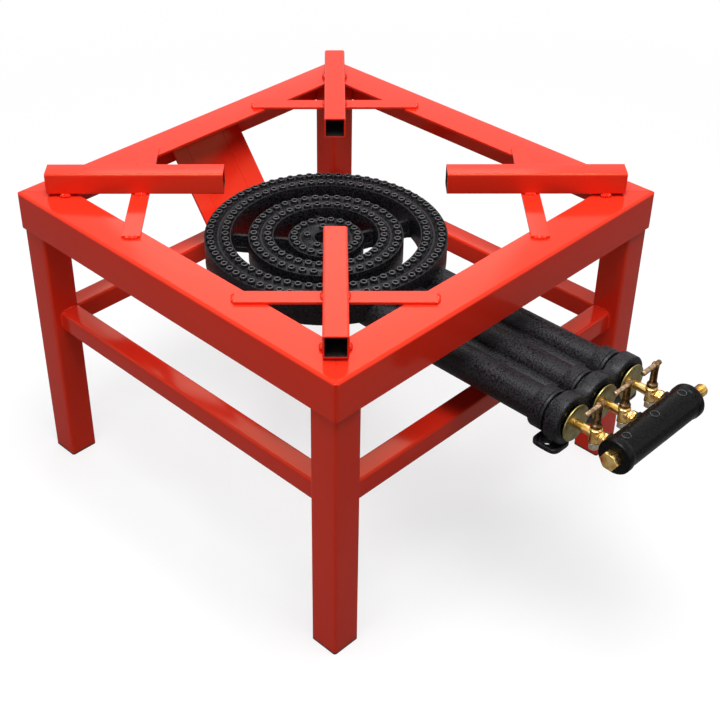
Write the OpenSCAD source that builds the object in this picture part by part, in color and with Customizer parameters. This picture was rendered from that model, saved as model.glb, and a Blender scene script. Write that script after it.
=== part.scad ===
// High pressure gas burner: a welded square stand with three cast rings of flame nozzles,
// each fed by its own mixing tube, air shutter and plug valve from one gas manifold.
// Millimetres. +Z up, -Y is the side with the valves, the stand stands on z = 0.
// Distances named "reach" are measured from the middle of the stand.

/* [Stand] */
// Outer side of the square top ring
ring_side = 500; // [460:5:560]
// Height of the top ring's upper face above the floor
ring_h = 360; // [340:5:400]
// Width of both flanges of the ring's angle iron
angle_w = 45; // [40:1:50]
// Thickness of the angle iron
angle_t = 3; // [2.5:0.5:4]
// Outer radius of the angle iron's heel
angle_r = 4; // [3.5:0.5:6]
// Radius ground on the ring's four upright corners
corner_r = 5; // [2:1:8]
// Width of the square leg tube
leg_w = 35; // [30:1:40]
// Wall of the leg tube
leg_wall = 2; // [1.5:0.5:3]
// Corner radius of the leg and rail tubes
tube_r = 3; // [1:0.5:4]
// Width of the square tube of the lower rails
rail_w = 25; // [20:1:30]
// Wall of the lower rails
rail_wall = 2; // [1.5:0.5:3]
// Height of the lower rails' upper face above the floor
rail_top = 210; // [150:5:220]

/* [Feet] */
// Thickness of the end cap under a leg
cap_t = 2; // [1.5:0.5:5]
// Height of the cap's plug inside the leg
cap_plug_h = 12; // [8:1:20]
// Wall of the cap's plug
cap_plug_wall = 2.5; // [1.5:0.5:4]
// Gap between the cap's plug and the leg on each side
cap_gap = 0.15; // [0.05:0.05:0.3]

/* [Pan supports] */
// Width of the square tube that carries the pan
support_w = 25; // [20:1:30]
// Wall of the pan support tube
support_wall = 2; // [1.5:0.5:3]
// Corner radius of the pan support tube
support_r = 2.5; // [1:0.5:4]
// Length of one pan support
support_l = 195; // [150:5:220]
// Reach of a pan support's outer end along the diagonal
support_reach = 317; // [300:1:322]
// Width of the flat bar across each corner
strap_w = 20; // [15:1:30]
// Thickness of the flat bar
strap_t = 3; // [2:0.5:6]
// Length of the flat bar
strap_l = 200; // [180:5:220]
// Reach of the flat bar's middle along the diagonal
strap_reach = 214; // [206:1:224]

/* [Burner rings] */
// Distance of the rings' middle behind the middle of the stand
rings_back = 14.5; // [0:0.5:20]
// Height of the cast rings' underside above the floor
rings_under = 267; // [262:1:272]
// Outer radius of the outer ring
outer_r = 138; // [136:0.5:142]
// Inner radius of the outer ring
outer_hole_r = 107.6; // [105:0.2:108.4]
// Height of the outer ring's deck above the floor
outer_deck = 300.5; // [298:0.5:304]
// Outer radius of the middle ring
middle_r = 88.5; // [88:0.5:94]
// Inner radius of the middle ring
middle_hole_r = 59.5; // [57:0.5:60]
// Height of the middle ring's deck above the floor
middle_deck = 297.8; // [295:0.2:302]
// Outer radius of the inner ring
inner_r = 43; // [42.5:0.5:47]
// Radius of the hole in the middle of the inner ring
inner_hole_r = 13; // [8:0.5:15]
// Height of the inner ring's deck above the floor
inner_deck = 294; // [292:0.5:300]
// Wall and floor of the hollow rings
cast_wall = 5; // [4:0.5:6]
// Thickness of the decks that hold the nozzles
deck_t = 6; // [5:0.5:8]
// Height of the lips along the deck edges and of the ridge between the nozzle rows
ridge_h = 1.5; // [0.5:0.25:3]
// Width of the lips along the deck edges
lip_w = 2; // [1:0.25:2.5]
// Width of the rounded ridge between the nozzle rows
ridge_w = 6; // [3:0.5:7]
// Gap between a deck's lip and the nozzles beside it
row_gap = 0.6; // [0.2:0.1:1]
// Radius of the innermost nozzle row
inner_in_row_r = 21.5; // [21:0.5:23]
// Thickness of the webs that join the rings
web_t = 7; // [5:0.5:10]
// Height of the webs' upper edge above the floor
web_top = 289.5; // [284:0.5:291]

/* [Flame nozzles] */
// Diameter of one nozzle
tip_d = 8; // [6:0.2:8.6]
// Height of a nozzle above the deck
tip_h = 4.5; // [3:0.5:8]
// Flame hole through a nozzle
tip_hole_d = 2.6; // [1.5:0.1:3.4]
// Diameter of the nozzle's shank in the deck
tip_shank_d = 5.6; // [4.4:0.1:6]
// Gap round a shank in its hole
tip_gap = 0.1; // [0.05:0.05:0.2]
// Nozzles in the outer row of the outer ring
outer_row_n = 70; // [50:5:75]
// Nozzles in the inner row of the outer ring
outer_in_row_n = 60; // [40:5:65]
// Nozzles in the outer row of the middle ring
middle_row_n = 40; // [30:5:45]
// Nozzles in the inner row of the middle ring
middle_in_row_n = 35; // [25:5:40]
// Nozzles in the outer row of the inner ring
inner_row_n = 20; // [15:5:20]
// Nozzles in the inner row of the inner ring
inner_in_row_n = 5; // [5:1:10]

/* [Mixing tubes] */
// Distance between the axes of neighbouring mixing tubes
tube_pitch = 46; // [44:0.5:48]
// Height of the mixing tubes' axes above the floor
tube_z = 271.5; // [270:0.5:273]
// Outer diameter of a mixing tube
tube_d = 36; // [34:0.5:40]
// Bore of a mixing tube
tube_bore = 27; // [22:0.5:28]
// Diameter of the low ducts that run on under the rings
duct_d = 28; // [26:0.5:30]
// Bore of the low ducts
duct_bore = 19; // [15:0.5:20]
// Thickness of the rib between neighbouring tubes
rib_t = 7; // [5:0.5:10]
// Reach of the bell mouths
mouth_reach = 369.5; // [350:0.5:390]
// Length of the bells
bell_l = 16; // [12:1:22]
// Outer diameter of the bells
bell_d = 52.5; // [49:0.5:54]
// Length of the collar behind each bell
collar_l = 20; // [12:1:26]
// Diameter of the collar behind each bell
collar_d = 45; // [42:0.5:48]
// Width of the groove between collar and bell
groove_w = 2; // [1:0.5:3]
// Diameter of the open mouth in a bell
mouth_d = 34; // [30:0.5:38]
// Width and depth of the flare at the mouth's edge
mouth_flare = 2; // [0.5:0.5:3]
// Depth of the bridge that holds the valve nose behind the mouth
bridge_in = 7.5; // [6.5:0.5:10]
// Thickness of the foot lugs under the outer bells
lug_t = 6; // [4:0.5:8]
// Width of a foot lug across the burner
lug_w = 28; // [27:1:34]
// Length of a foot lug along the burner
lug_l = 31; // [26:1:36]
// Screw hole in a foot lug
lug_hole_d = 8; // [5:0.5:9]

/* [Burner carrier] */
// Width of the carrier strip
carrier_w = 105; // [90:1:120]
// Distance of the strip's middle from the burner's centre line
carrier_x = 20.5; // [15:0.5:25]
// Thickness of the carrier strip
carrier_t = 3; // [2:0.5:5]
// Height of the strip's upper face under the burner
carrier_top = 251; // [246:0.5:256]
// Reach of the lower bend of the strip
carrier_bend_reach = 186; // [170:1:190]
// Reach of the strip's front end
carrier_end_reach = 20; // [10:1:30]
// Height of the tab welded to the back rail
carrier_tab_h = 21; // [12:1:24]
// Distance of the tab above the lower edge of the back rail
carrier_tab_up = 16; // [10:1:17]
// Bend radius of the strip
carrier_bend_r = 6; // [4:1:12]
// Thread diameter of the bolts through the strip
bolt_d = 8; // [6:1:10]
// Sideways distance of the two rear bolts from the strip's middle
bolt_side = 30; // [20:1:34]
// Diameter of the cast feet on the strip
foot_d = 18; // [16:1:24]

/* [Valves] */
// Distance from the bell mouth to the valve stem
stem_ahead = 27.5; // [25:0.5:28]
// Distance from the bell mouth to the manifold's axis
manifold_ahead = 60.5; // [58:0.5:64]
// Diameter of the valve nose that carries the air shutter
nose_d = 7.6; // [7:0.2:7.8]
// Distance from the bell mouth to the tip of the valve nose
nose_in = 23.5; // [20:0.5:28]
// Diameter of the valve's upright barrel
barrel_d = 11.6; // [11.2:0.2:12.4]
// Height of the valve's upright barrel
barrel_h = 17; // [14:0.5:20]
// Width of the valve's eight-sided body at the union
body_w = 10.8; // [10:0.2:11]
// Width of the valve's eight-sided body at the air shutter
body_front_w = 8.4; // [8.2:0.2:9.6]
// Width across the flats of the union hexagon
union_af = 13; // [12:0.5:16]
// Length of the union hexagon
union_l = 8; // [6:0.5:8.5]
// Gas passage through the valve
gas_d = 4; // [2:0.5:5]
// Top diameter of the tapered plug
plug_top_d = 8.6; // [8:0.2:9]
// Bottom diameter of the tapered plug
plug_bottom_d = 7; // [6.4:0.2:7.6]
// Running gap between moving round parts
run_gap = 0.05; // [0.02:0.01:0.1]
// Height of the lever bar's axis above the tube axis
lever_h = 34.5; // [28:0.5:42]
// Diameter of the lever bar
lever_d = 5.4; // [4.4:0.2:7]
// Reach of the long end of the lever bar from its stem
lever_long = 22; // [16:1:25]
// Reach of the short end of the lever bar from its stem
lever_short = 7.5; // [5:0.5:10]
// Diameter of the lever's stem
stem_d = 7.6; // [6:0.2:9]
// Width across the flats of the nut under the plug
nut_af = 10; // [9:0.5:12]
// Thickness of the nut under the plug
nut_t = 6.5; // [4:0.5:8]
// Thickness of the washer under the plug
washer_t = 1.2; // [0.8:0.2:2]
// Thread diameter under the plug
plug_thread_d = 5; // [4:0.5:6]

/* [Air shutters] */
// Diameter of an air shutter disc
shutter_d = 39.6; // [36:0.2:42]
// Thickness of the disc
shutter_t = 2; // [1:0.2:3]
// Gap between the open disc and the bell mouth
shutter_open = 3; // [2:0.1:4]
// Diameter of the disc's hub
shutter_hub_d = 15; // [13:0.5:18]
// Length of the disc's hub with the disc
shutter_hub_l = 5.5; // [3:0.5:6]

/* [Manifold] */
// Outer diameter of the manifold
manifold_d = 35; // [32:0.5:38]
// Length of the manifold casting
manifold_l = 126; // [120:1:150]
// Bore of the manifold
manifold_bore = 20; // [16:0.5:22]
// Diameter of the collars on both ends
manifold_collar_d = 37; // [34:0.5:40]
// Width of the collars on both ends
manifold_collar_w = 9; // [6:0.5:12]
// Width across the flats of the end plug
plug_af = 17; // [14:0.5:19]
// Thickness of the end plug's head
plug_head_t = 9; // [5:0.5:12]
// Outer diameter of the gas inlet
inlet_d = 13.16; // [10:0.01:16]
// Bore of the gas inlet
inlet_bore = 6; // [4:0.5:8]
// Length of the gas inlet outside the manifold
inlet_l = 25; // [15:0.5:35]

/* [Hidden] */
$fn = 96;
CUT = 1;
SEAT = 12;
COPIES = [-1, 0, 1];

// Colours as in the photo
RED = [0.86, 0.17, 0.12];
CAST_BLACK = [0.13, 0.13, 0.14];
RUBBER_BLACK = [0.05, 0.05, 0.05];
BRASS = [0.83, 0.65, 0.30];
BRONZE = [0.36, 0.24, 0.14];
ZINC_YELLOW = [0.72, 0.66, 0.42];
NICKEL = [0.75, 0.74, 0.70];

// Stand
half_side = ring_side / 2;
flange_in = half_side - angle_t;
leg_c = flange_in - leg_w / 2;
leg_in = flange_in - leg_w;
rail_c = leg_in + rail_w / 2;
strap_z = ring_h;
support_z = ring_h + strap_t;

// Manifold and the shift that puts the origin under the middle of the whole object
manifold_reach = mouth_reach + manifold_ahead;
manifold_max_d = max(manifold_d, manifold_collar_d);
front_reach = manifold_reach + manifold_max_d / 2;
stand_y = (front_reach - half_side) / 2;

// Rings: [outer radius, hole radius, deck height, rows of [radius, count]]
row_in = lip_w + tip_d / 2 + row_gap;
outer_row_r = outer_r - row_in;
outer_in_row_r = outer_hole_r + row_in;
middle_row_r = middle_r - row_in;
middle_in_row_r = middle_hole_r + row_in;
inner_row_r = inner_r - row_in;
OUTER = [outer_r, outer_hole_r, outer_deck,
    [[outer_row_r, outer_row_n], [outer_in_row_r, outer_in_row_n]]];
MIDDLE = [middle_r, middle_hole_r, middle_deck,
    [[middle_row_r, middle_row_n], [middle_in_row_r, middle_in_row_n]]];
INNER = [inner_r, inner_hole_r, inner_deck,
    [[inner_row_r, inner_row_n], [inner_in_row_r, inner_in_row_n]]];
web_angles = [-18, 54, 126, 198];
web_bite = 2;
tip_chamfer = 0.9;

// Mixing tubes and ducts
duct_up = 0.6;
duct_z = tube_z - tube_d / 2 + duct_d / 2 + duct_up;
bell_back = mouth_reach - bell_l;
collar_back = bell_back - groove_w - collar_l;
throat_back = collar_back + 3;
bridge_front = mouth_reach - bridge_in;
bridge_t = 8;
bridge_w = 9;
hub_wall = 4;
hub_d = nose_d + 2 * hub_wall;
bell_round = 2.5;
collar_round = 1.5;
rib_bite = 6;
rib_w = tube_pitch - tube_d + 2 * rib_bite;
rib_up = 4.5;
lug_bite = 2;
lug_top = tube_z - bell_d / 2 + lug_bite;
lug_inside = 3.5;
lug_x = tube_pitch + lug_w / 2 - lug_inside;
lug_proud = 1;
lug_y = mouth_reach - lug_l / 2 + lug_proud;
lug_hole_x = lug_x + 6;
lug_r = 10;

// Carrier strip
bolt_hole_d = bolt_d + 1;
tapped_d = bolt_d + 0.2;
bolt_head_af = bolt_d * 1.625;
bolt_head_h = bolt_d * 0.66;
bolt_washer_d = bolt_d * 2;
bolt_washer_t = bolt_d * 0.2;
bolt_in = rings_under - carrier_top - 2;
outer_mid_r = (outer_r + outer_hole_r) / 2;
middle_mid_r = (middle_r + middle_hole_r) / 2;
// Place of a cast foot on a ring, from its sideways place
function on_ring(x, r) = [x, rings_back + sqrt(r * r - x * x)];
FEET = [
    on_ring(carrier_x - bolt_side, outer_mid_r),
    on_ring(carrier_x + bolt_side, outer_mid_r),
    on_ring(carrier_x, middle_mid_r)
];
line_w = 2.4;
line_depth = 0.6;
line_from_left = 20;
line_from_right = 28;

// Valves; the flat gap is the one between a moving piece and the piece beside it
flat_gap = 0.3;
stem_reach = mouth_reach + stem_ahead;
nose_tip_reach = mouth_reach - nose_in;
pad_h = 1;
pad_rim = 2;
pad_d = union_af + 2 * pad_rim;
pad_reach = manifold_reach - manifold_d / 2 - pad_h;
union_reach = pad_reach - union_l;
spigot_d = 10;
spigot_l = manifold_d / 2 + pad_h - manifold_bore / 2;
bead_w = 2;
bead_out = 0.6;
bead_down = 1.5;
barrel_bottom = tube_z - barrel_h / 2;
barrel_top = tube_z + barrel_h / 2;
jet_d = 6.4;
jet_l = 7;
jet_hole_d = 1;
jet_thread_d = 5;
jet_thread_l = 5;
washer_d = nut_af + 2;
washer_bottom = barrel_bottom - flat_gap - washer_t;
nut_bottom = washer_bottom - nut_t;
thread_out = 1;
plug_neck_d = plug_top_d - 0.4;
stem_foot_d = stem_d + 3.4;
stem_foot_h = 3;
stem_cone_h = 5.5;
bar_l = lever_long + lever_short;
bar_chamfer = 0.8;

// Air shutters
shutter_front = mouth_reach + shutter_open + shutter_t;
shoulder_reach = shutter_front + flat_gap;

// Shared shapes

// Moves from the stand's middle to the object's origin
module at_stand() {
    translate([0, stand_y, 0]) children();
}

// A square with round corners, centred
module round_square(size, r) {
    round_rect(size, size, r);
}

// A rectangle with round corners, centred
module round_rect(w, l, r) {
    square([w - 2 * r, l], center = true);
    square([w, l - 2 * r], center = true);
    for (x = [-1, 1], y = [-1, 1])
        translate([x * (w / 2 - r), y * (l / 2 - r)]) circle(r, $fn = 32);
}

// Section of a square tube, centred
module tube_section(size, wall, r) {
    difference() {
        round_square(size, r);
        round_square(size - 2 * wall, max(r - wall, 0.5));
    }
}

// A square tube along X, centred
module square_tube_x(l, size, wall, r) {
    rotate([90, 0, 90]) linear_extrude(l, center = true) tube_section(size, wall, r);
}

// Hexagon prism along Z, flats facing X
module hex_prism(af, h) {
    rotate([0, 0, 30]) cylinder(h, d = af / cos(30), $fn = 6);
}

// Turns +Z to -Y and starts at a reach in front of the stand's middle
module forward_from(reach, x = 0) {
    translate([x, -reach, tube_z]) rotate([90, 0, 0]) children();
}

// Copies children to a corner of the stand, turned so that local +X runs outwards
module on_corner(corner) {
    rotate([0, 0, 45 + 90 * corner]) children();
}

// Stand

// Section of the angle iron: x runs inwards from the outer face, y runs down from the top
module angle_section() {
    mirror([0, 1]) difference() {
        union() {
            translate([angle_r, 0]) square([angle_w - angle_r, angle_w]);
            translate([0, angle_r]) square([angle_w, angle_w - angle_r]);
            translate([angle_r, angle_r]) circle(angle_r);
        }
        translate([angle_t, angle_t]) square(angle_w);
    }
}

// Outline of one side of the ring seen from above, mitred at 45 degrees
module mitre_wedge() {
    intersection() {
        round_square(ring_side, corner_r);
        polygon([[-half_side, -half_side], [half_side, -half_side], [0, 0]]);
    }
}

// Rail 0 is the front, then anticlockwise seen from above
module top_rail(side) {
    color(RED) at_stand() rotate([0, 0, 90 * side]) intersection() {
        translate([0, -half_side, ring_h]) rotate([90, 0, 90])
            linear_extrude(ring_side, center = true) angle_section();
        translate([0, 0, ring_h - angle_w]) linear_extrude(angle_w) mitre_wedge();
    }
}

// Leg 0 is the front left, then anticlockwise seen from above
module leg(corner) {
    color(RED) at_stand() rotate([0, 0, 90 * corner]) translate([-leg_c, -leg_c, cap_t])
        linear_extrude(ring_h - angle_t - cap_t) tube_section(leg_w, leg_wall, tube_r);
}

module foot_cap(corner) {
    plug_w = leg_w - 2 * leg_wall - 2 * cap_gap;
    color(RUBBER_BLACK) at_stand() rotate([0, 0, 90 * corner]) translate([-leg_c, -leg_c, 0]) {
        linear_extrude(cap_t) round_square(leg_w, tube_r);
        translate([0, 0, cap_t]) linear_extrude(cap_plug_h)
            tube_section(plug_w, cap_plug_wall, 1);
    }
}

module lower_rail(side) {
    color(RED) at_stand() rotate([0, 0, 90 * side])
        translate([0, -rail_c, rail_top - rail_w / 2])
            square_tube_x(2 * leg_in, rail_w, rail_wall, tube_r);
}

// Corners for supports and straps: 0 is the back right, then anticlockwise
module pan_support(corner) {
    color(RED) at_stand() on_corner(corner)
        translate([support_reach - support_l / 2, 0, support_z + support_w / 2])
            square_tube_x(support_l, support_w, support_wall, support_r);
}

module corner_strap(corner) {
    color(RED) at_stand() on_corner(corner)
        translate([strap_reach - strap_w / 2, -strap_l / 2, strap_z])
            cube([strap_w, strap_l, strap_t]);
}

// Burner carrier

// Middle line of the strip from its tab to its front end, as [y, z]
STRIP = [
    [flange_in - carrier_t / 2, ring_h - angle_w + carrier_tab_up + carrier_tab_h],
    [flange_in - carrier_t / 2, ring_h - angle_w + carrier_tab_up],
    [carrier_bend_reach, carrier_top - carrier_t / 2],
    [carrier_end_reach, carrier_top - carrier_t / 2]
];
function unit(v) = v / norm(v);
function left_of(v) = [-v.y, v.x];
// Points of a round bend at p between its neighbours a and b
function bend(a, p, b, r, n = 6) =
    let (u = unit(p - a), v = unit(b - p))
    let (turn = acos(u * v), side = sign(u.x * v.y - u.y * v.x))
    let (start = p - u * r * tan(turn / 2), centre = start + left_of(u) * side * r)
    [for (i = [0 : n]) let (t = turn * i / n)
        centre - (left_of(u) * side * cos(t) - u * sin(t)) * r];
ROUTE = concat(
    [STRIP[0]],
    bend(STRIP[0], STRIP[1], STRIP[2], carrier_bend_r),
    bend(STRIP[1], STRIP[2], STRIP[3], carrier_bend_r),
    [STRIP[3]]
);
// Direction of the route at point i, the mean of its two sides
function heading(i) =
    unit((i > 0 ? unit(ROUTE[i] - ROUTE[i - 1]) : [0, 0])
        + (i < len(ROUTE) - 1 ? unit(ROUTE[i + 1] - ROUTE[i]) : [0, 0]));
function beside(d) = [for (i = [0 : len(ROUTE) - 1]) ROUTE[i] + left_of(heading(i)) * d];
function backwards(list) = [for (i = [len(list) - 1 : -1 : 0]) list[i]];

// A band of the strip's section between two distances from its middle line, as wide as w
module strip_band(d0, d1, w) {
    rotate([90, 0, 90]) linear_extrude(w, center = true)
        polygon(concat(beside(d0), backwards(beside(d1))));
}

module burner_carrier() {
    half_t = carrier_t / 2;
    color(RED) at_stand() difference() {
        translate([carrier_x, 0, 0]) strip_band(-half_t, half_t, carrier_w);
        for (x = [-carrier_w / 2 + line_from_left, carrier_w / 2 - line_from_right])
            translate([carrier_x + x, 0, 0]) strip_band(-half_t - CUT, -half_t + line_depth, line_w);
        for (p = FEET)
            translate([p.x, p.y, carrier_top - carrier_t - CUT])
                cylinder(carrier_t + 2 * CUT, d = bolt_hole_d);
    }
}

module carrier_bolts() {
    under = carrier_top - carrier_t - bolt_washer_t;
    color(NICKEL) at_stand() for (p = FEET) translate([p.x, p.y, under]) {
        translate([0, 0, -bolt_head_h]) hex_prism(bolt_head_af, bolt_head_h);
        cylinder(bolt_washer_t + carrier_t + bolt_in, d = bolt_d);
    }
}

module carrier_washers() {
    color(NICKEL) at_stand() for (p = FEET)
        translate([p.x, p.y, carrier_top - carrier_t - bolt_washer_t]) difference() {
            cylinder(bolt_washer_t, d = bolt_washer_d);
            translate([0, 0, -CUT]) cylinder(bolt_washer_t + 2 * CUT, d = bolt_hole_d - 0.6);
        }
}

// Burner casting

// Section of one ring with its deck, its edge lips and the ridge between its nozzle rows
module ring_section(ring) {
    ridge_c = (ring[3][0][0] + ring[3][1][0]) / 2;
    ridge_r = (ridge_w * ridge_w / 4 + ridge_h * ridge_h) / (2 * ridge_h);
    translate([ring[1], rings_under]) square([ring[0] - ring[1], ring[2] - rings_under]);
    for (x = [ring[1], ring[0] - lip_w])
        translate([x, ring[2] - CUT]) square([lip_w, ridge_h + CUT]);
    intersection() {
        translate([ridge_c, ring[2] + ridge_h - ridge_r]) circle(ridge_r);
        translate([ridge_c - ridge_w / 2, ring[2] - CUT]) square([ridge_w, ridge_h + CUT]);
    }
}

module ring_chamber_section(ring) {
    translate([ring[1] + cast_wall, rings_under + cast_wall])
        square([ring[0] - ring[1] - 2 * cast_wall, ring[2] - rings_under - cast_wall - deck_t]);
}

module at_rings() {
    translate([0, rings_back, 0]) children();
}

// Webs between two rings
module webs(inside, outside) {
    l = outside[1] - inside[0] + 2 * web_bite;
    for (a = web_angles) rotate([0, 0, a])
        translate([inside[0] - web_bite, -web_t / 2, rings_under]) cube([l, web_t, web_top - rings_under]);
}

// Where a tube at x meets a circle round the rings' middle, as a reach
function meet_reach(x, r) = sqrt(r * r - x * x) - rings_back;

// Solid of a mixing tube at x from a reach to the bell
module tube_solid(x, from) {
    forward_from(from, x) cylinder(collar_back - from + CUT, d = tube_d);
}

// Solid or bore of a low duct at x, between two reaches
module duct(x, from, to, d) {
    translate([x, -from, duct_z]) rotate([90, 0, 0]) cylinder(to - from, d = d);
}

// Bell, groove and collar of one tube
module bell(x) {
    start = collar_l + groove_w;
    end = start + bell_l;
    edge = [bell_d / 2 - bell_round, end - bell_round];
    forward_from(collar_back, x) rotate_extrude() {
        polygon([
            [0, 0], [collar_d / 2 - collar_round, 0], [collar_d / 2, collar_round],
            [collar_d / 2, collar_l], [collar_d / 2 - groove_w, collar_l],
            [collar_d / 2 - groove_w, start], [bell_d / 2 - collar_round, start],
            [bell_d / 2, start + collar_round], [bell_d / 2, edge.y], edge,
            [edge.x, end], [0, end]
        ]);
        translate(edge) circle(bell_round);
    }
}

// Open inside of one tube: flared edge, narrowing mouth and bore
module tube_inside(x, bore_from) {
    flare_from = mouth_reach - mouth_flare;
    flare_d = mouth_d + 2 * (mouth_flare + CUT);
    forward_from(bore_from, x) cylinder(throat_back - bore_from + CUT, d = tube_bore);
    forward_from(throat_back, x) cylinder(mouth_reach - throat_back, d1 = tube_bore, d2 = mouth_d);
    forward_from(flare_from, x) cylinder(mouth_flare + CUT, d1 = mouth_d, d2 = flare_d);
}

// Bar across a bell's mouth with the hub that holds the valve nose
module nose_bridge(x) {
    forward_from(bridge_front - bridge_t, x) {
        cylinder(bridge_t, d = hub_d);
        translate([-mouth_d / 2, -bridge_w / 2, 0]) cube([mouth_d, bridge_w, bridge_t]);
    }
}

module nose_hole(x) {
    forward_from(bridge_front - bridge_t - CUT, x)
        cylinder(bridge_t + 2 * CUT, d = nose_d + 2 * run_gap);
}

module foot_lug(side) {
    translate([side * lug_x, -lug_y, lug_top - lug_t]) linear_extrude(lug_t)
        round_rect(lug_w, lug_l, lug_r);
}

module port_holes(ring) {
    for (row = ring[3], i = [0 : row[1] - 1])
        rotate([0, 0, 360 * i / row[1] - 90]) translate([row[0], 0, ring[2] - deck_t - CUT])
            cylinder(deck_t + CUT + ridge_h, d = tip_shank_d + 2 * tip_gap, $fn = 24);
}

module burner_casting() {
    left = -tube_pitch;
    right = tube_pitch;
    outer_end = meet_reach(tube_pitch, outer_mid_r - 4);
    outer_in = meet_reach(tube_pitch, outer_hole_r + cast_wall / 2);
    centre_in = meet_reach(0, outer_hole_r + cast_wall / 2);
    middle_end = meet_reach(tube_pitch, middle_mid_r - 5);
    inner_end = meet_reach(0, (inner_r + inner_hole_r) / 2 - 3);
    color(CAST_BLACK) at_stand() difference() {
        union() {
            at_rings() {
                rotate_extrude() ring_section(OUTER);
                rotate_extrude() ring_section(MIDDLE);
                rotate_extrude() ring_section(INNER);
                webs(MIDDLE, OUTER);
                webs(INNER, MIDDLE);
            }
            tube_solid(right, outer_end);
            tube_solid(left, outer_in);
            tube_solid(0, centre_in);
            duct(left, middle_end, outer_in + CUT, duct_d);
            duct(0, inner_end, centre_in + CUT, duct_d);
            for (i = COPIES) bell(i * tube_pitch);
            for (i = [-1, 1])
                translate([i * tube_pitch / 2 - rib_w / 2, -collar_back, tube_z + rib_up - rib_t / 2])
                    cube([rib_w, collar_back - outer_end, rib_t]);
            for (i = [-1, 1]) foot_lug(i);
            for (p = FEET)
                translate([p.x, p.y, carrier_top])
                    cylinder(rings_under - carrier_top + CUT, d = foot_d);
        }
        difference() {
            at_rings() rotate_extrude() ring_chamber_section(OUTER);
            tube_solid(left, outer_in);
            tube_solid(0, centre_in);
            duct(left, middle_end, outer_in + CUT, duct_d);
            duct(0, inner_end, centre_in + CUT, duct_d);
        }
        difference() {
            at_rings() rotate_extrude() ring_chamber_section(MIDDLE);
            duct(0, inner_end, centre_in + CUT, duct_d);
        }
        at_rings() rotate_extrude() ring_chamber_section(INNER);
        difference() {
            union() {
                tube_inside(right, outer_end + cast_wall);
                tube_inside(left, outer_in + cast_wall);
                tube_inside(0, centre_in + cast_wall);
            }
            for (i = COPIES) nose_bridge(i * tube_pitch);
        }
        duct(left, middle_end + cast_wall, outer_in + cast_wall + CUT, duct_bore);
        duct(0, inner_end + cast_wall, centre_in + cast_wall + CUT, duct_bore);
        for (i = COPIES) nose_hole(i * tube_pitch);
        for (i = [-1, 1])
            translate([i * lug_hole_x, -lug_y, lug_top - lug_t - CUT])
                cylinder(lug_t + 2 * CUT, d = lug_hole_d);
        for (p = FEET)
            translate([p.x, p.y, carrier_top - CUT]) cylinder(bolt_in + CUT + 1, d = tapped_d);
        at_rings() {
            port_holes(OUTER);
            port_holes(MIDDLE);
            port_holes(INNER);
        }
    }
}

// Section of one nozzle: a collar on the deck, a shank in the deck and the flame hole
module flame_nozzles(ring) {
    color(CAST_BLACK) at_stand() at_rings() for (row = ring[3], i = [0 : row[1] - 1])
        rotate([0, 0, 360 * i / row[1] - 90]) translate([row[0], 0, ring[2]])
            rotate_extrude($fn = 24) polygon([
                [tip_hole_d / 2, -deck_t], [tip_shank_d / 2, -deck_t], [tip_shank_d / 2, 0],
                [tip_d / 2, 0], [tip_d / 2, tip_h - tip_chamfer],
                [tip_d / 2 - tip_chamfer, tip_h], [tip_hole_d / 2, tip_h]
            ]);
}

// Valves, at the sideways place x

module air_shutter(x) {
    color(ZINC_YELLOW) at_stand() forward_from(shutter_front - shutter_hub_l, x) difference() {
        union() {
            translate([0, 0, shutter_hub_l - shutter_t]) cylinder(shutter_t, d = shutter_d);
            cylinder(shutter_hub_l, d = shutter_hub_d);
        }
        translate([0, 0, -CUT]) cylinder(shutter_hub_l + 2 * CUT, d = nose_d + 2 * run_gap);
    }
}

module gas_jet(x) {
    color(BRASS) at_stand() forward_from(nose_tip_reach - jet_l, x) difference() {
        union() {
            cylinder(2, d1 = jet_d - 2, d2 = jet_d);
            translate([0, 0, 2]) cylinder(jet_l - 2, d = jet_d);
            cylinder(jet_l + jet_thread_l, d = jet_thread_d);
        }
        translate([0, 0, -CUT]) cylinder(jet_l + jet_thread_l + 2 * CUT, d = jet_hole_d);
    }
}

// Tapered hole or plug in the barrel, wider by gap all round
module taper(gap) {
    translate([0, 0, barrel_bottom])
        cylinder(barrel_h, d1 = plug_bottom_d + 2 * gap, d2 = plug_top_d + 2 * gap);
}

// Eight-sided valve body that widens from the air shutter to the union
module tapered_body() {
    corner = cos(180 / 8);
    rotate([0, 0, 180 / 8])
        cylinder(union_reach - shoulder_reach + CUT, d1 = body_front_w / corner, d2 = body_w / corner, $fn = 8);
}

module valve_body(x) {
    color(BRASS) at_stand() difference() {
        union() {
            forward_from(nose_tip_reach, x)
                cylinder(shoulder_reach - nose_tip_reach + CUT, d = nose_d);
            forward_from(shoulder_reach, x) tapered_body();
            forward_from(union_reach, x) hex_prism(union_af, union_l);
            forward_from(pad_reach - CUT, x) cylinder(spigot_l + CUT, d = spigot_d);
            translate([x, -stem_reach, barrel_bottom]) {
                cylinder(barrel_h, d = barrel_d);
                translate([0, 0, barrel_h - bead_down - bead_w])
                    cylinder(bead_w, d = barrel_d + 2 * bead_out);
            }
        }
        forward_from(nose_tip_reach + jet_thread_l, x)
            cylinder(pad_reach + spigot_l + CUT - nose_tip_reach - jet_thread_l, d = gas_d);
        forward_from(nose_tip_reach - CUT, x)
            cylinder(jet_thread_l + 2 * CUT, d = jet_thread_d + 2 * run_gap);
        translate([x, -stem_reach, 0]) taper(run_gap);
        translate([x, -stem_reach, barrel_bottom - CUT])
            cylinder(CUT + barrel_h / 2, d = plug_bottom_d + 2 * run_gap);
        translate([x, -stem_reach, barrel_top - CUT])
            cylinder(2 * CUT, d = plug_top_d + 2 * run_gap);
    }
}

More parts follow.
